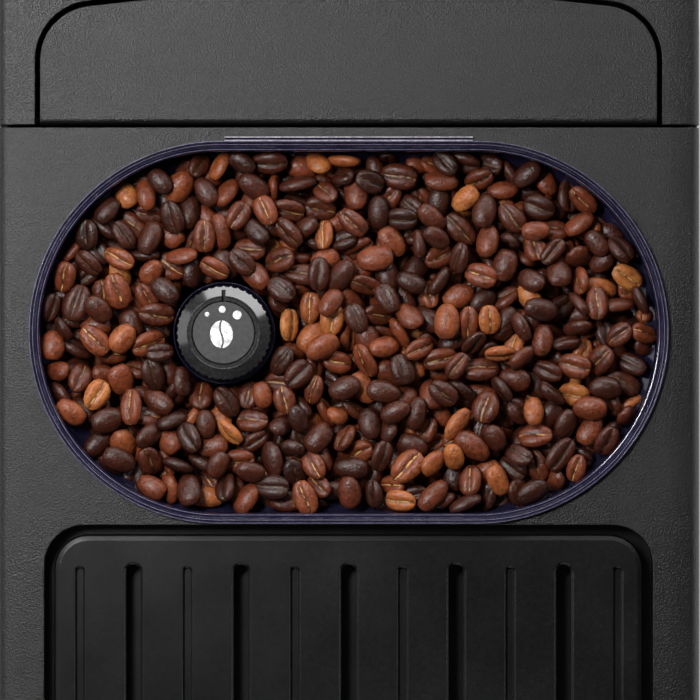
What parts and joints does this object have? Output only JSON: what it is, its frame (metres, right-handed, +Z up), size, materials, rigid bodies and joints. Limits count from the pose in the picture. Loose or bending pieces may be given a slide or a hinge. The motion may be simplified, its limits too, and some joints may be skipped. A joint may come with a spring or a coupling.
{
  "type": "bean to cup coffee machine",
  "caption": "Compact countertop bean to cup coffee machine with an open top hopper of beans, grind knob, slotted cup tray, rear water tank, coffee outlet, drip tray and steam wand",
  "frame": {"origin": "on the surface under the middle of the machine's outline", "axes": "+Z up, -Y the front with the cup bay, +X to the right seen from the front"},
  "size_m": [0.246, 0.365, 0.325],
  "materials": {
    "casing_grey": "fine grained matt moulding",
    "trim_black": "matt moulding",
    "tray_black": "fine grained satin moulding",
    "panel_gloss": "gloss moulding",
    "smoked_clear": "clear smoked plastic, faint violet blue",
    "tank_clear": "clear smoked plastic",
    "window_dark": "dark polished window",
    "hose_clear": "milky silicone",
    "coffee_beans": "roasted beans with a light oil sheen",
    "knob_black": "satin moulding",
    "knob_cap": "satin moulding with printed signs",
    "nylon": "natural nylon",
    "steel": "turned or brushed steel",
    "burr_steel": "ground hardened steel",
    "motor_can": "zinc plated can",
    "cast_aluminium": "as cast aluminium",
    "circuit_board": "lacquered board",
    "rubber": "soft black rubber",
    "float_red": "red moulding"
  },
  "bodies": {
    "machine": {"base_pan": "trim_black", "foot_front_left": "rubber", "foot_front_right": "rubber", "foot_rear_left": "rubber", "foot_rear_right": "rubber", "left_side_panel": "casing_grey", "right_side_panel": "casing_grey", "rear_panel": "casing_grey", "top_cover": "casing_grey", "rear_top_cover_left": "casing_grey", "rear_top_cover_right": "casing_grey", "control_panel": "panel_gloss", "bay_wall": "casing_grey", "overhang_floor": "casing_grey", "inner_deck": "trim_black", "tank_bay_wall": "trim_black", "tray_well": "trim_black", "hopper": "smoked_clear", "bean_load": "coffee_beans", "knob_cap": "knob_cap", "grinder_housing": "trim_black", "grinder_motor": "motor_can", "ground_chute": "trim_black", "brew_cylinder": "nylon", "brew_frame": "trim_black", "brew_motor": "motor_can", "pump": "motor_can", "thermoblock": "cast_aluminium", "flow_meter": "nylon", "suction_hose": "hose_clear", "pressure_hose": "hose_clear", "main_board": "circuit_board", "power_inlet": "rubber", "control_board": "circuit_board", "display_window": "window_dark"},
    "grind_setting": {"grind_knob": "knob_black", "knob_sleeve": "nylon"},
    "burr_adjuster": {"burr_carrier": "nylon", "burr_ring": "burr_steel"},
    "burr_drive": {"burr_cone": "burr_steel", "grinder_shaft": "steel", "grinder_gear": "nylon"},
    "motor_rotor": {"motor_pinion": "steel"},
    "brew_screw": {"lead_screw": "steel"},
    "brew_plunger": {"brew_piston": "rubber"},
    "tank": {"water_tank": "tank_clear"},
    "lid": {"tank_lid": "casing_grey"},
    "top_tray": {"cup_tray": "tray_black"},
    "mode_dial": {"mode_knob": "steel"},
    "power_key": {"power_button": "panel_gloss"},
    "one_cup_key": {"one_cup_button": "panel_gloss"},
    "two_cup_key": {"two_cup_button": "panel_gloss"},
    "outlet": {"coffee_outlet": "panel_gloss"},
    "drip_drawer": {"drip_tray": "tray_black"},
    "grid": {"drip_grid": "steel"},
    "float": {"tray_float": "float_red"},
    "grounds": {"grounds_drawer": "casing_grey"},
    "steam_pipe": {"steam_wand": "steel", "wand_tip": "rubber"}
  },
  "joints": [
    {"name": "grind_knob_turn", "type": "hinge", "parent": "machine", "child": "grind_setting", "pos_m": [-0.04375, 0.045, 0.324], "axis": [0, 0, 1], "range_deg": [-40, 40]},
    {"name": "burr_adjuster_turn", "type": "hinge", "parent": "machine", "child": "burr_adjuster", "pos_m": [0.00825, 0.045, 0.253], "axis": [0, 0, 1], "range_deg": [-14, 14]},
    {"name": "burr_drive_spin", "type": "hinge", "parent": "machine", "child": "burr_drive", "pos_m": [0.00825, 0.045, 0.23], "axis": [0, 0, 1], "continuous": true},
    {"name": "motor_spin", "type": "hinge", "parent": "machine", "child": "motor_rotor", "pos_m": [0.04425, 0.045, 0.195], "axis": [0, 0, 1], "continuous": true},
    {"name": "brew_screw_turn", "type": "hinge", "parent": "machine", "child": "brew_screw", "pos_m": [-0.06775, 0.045, 0.105], "axis": [0, 0, 1], "range_deg": [0, 720]},
    {"name": "brew_piston_lift", "type": "slide", "parent": "machine", "child": "brew_plunger", "axis": [0, 0, 1], "range_m": [0, 0.036]},
    {"name": "tank_lift", "type": "slide", "parent": "machine", "child": "tank", "axis": [0, 0, 1], "range_m": [0, 0.19]},
    {"name": "tank_lid_hinge", "type": "hinge", "parent": "tank", "child": "lid", "pos_m": [0, 0.12635, 0.3176], "axis": [1, 0, 0], "range_deg": [0, 88]},
    {"name": "cup_tray_lift", "type": "slide", "parent": "machine", "child": "top_tray", "axis": [0, 0, 1], "range_m": [0, 0.025]},
    {"name": "mode_knob_turn", "type": "hinge", "parent": "machine", "child": "mode_dial", "pos_m": [0.066, -0.178, 0.262], "axis": [0, -1, 0], "range_deg": [-150, 150]},
    {"name": "power_button_press", "type": "slide", "parent": "machine", "child": "power_key", "axis": [0, 1, 0], "range_m": [0, 0.0015], "stiffness_N_per_m": 900, "springref_m": -0.0005},
    {"name": "one_cup_button_press", "type": "slide", "parent": "machine", "child": "one_cup_key", "axis": [0, 1, 0], "range_m": [0, 0.0015], "stiffness_N_per_m": 900, "springref_m": -0.0005},
    {"name": "two_cup_button_press", "type": "slide", "parent": "machine", "child": "two_cup_key", "axis": [0, 1, 0], "range_m": [0, 0.0015], "stiffness_N_per_m": 900, "springref_m": -0.0005},
    {"name": "outlet_height", "type": "slide", "parent": "machine", "child": "outlet", "axis": [0, 0, 1], "range_m": [-0.025, 0.025]},
    {"name": "drip_tray_pull", "type": "slide", "parent": "machine", "child": "drip_drawer", "axis": [0, -1, 0], "range_m": [0, 0.1]},
    {"name": "drip_grid_lift", "type": "slide", "parent": "drip_drawer", "child": "grid", "axis": [0, 0, 1], "range_m": [0, 0.03]},
    {"name": "float_rise", "type": "slide", "parent": "drip_drawer", "child": "float", "axis": [0, 0, 1], "range_m": [0, 0.006]},
    {"name": "grounds_drawer_pull", "type": "slide", "parent": "machine", "child": "grounds", "axis": [0, -1, 0], "range_m": [0, 0.09]},
    {"name": "steam_wand_swing", "type": "hinge", "parent": "machine", "child": "steam_pipe", "pos_m": [0.095, -0.1225, 0.1872], "axis": [0, -1, 0], "range_deg": [-10, 35]}
  ],
  "couplings": [
    {"joint": "burr_adjuster_turn", "follows": "grind_knob_turn", "ratio": -0.33333},
    {"joint": "motor_spin", "follows": "burr_drive_spin", "ratio": -4},
    {"joint": "brew_screw_turn", "follows": "brew_piston_lift", "rad_per_m": 349.07}
  ]
}
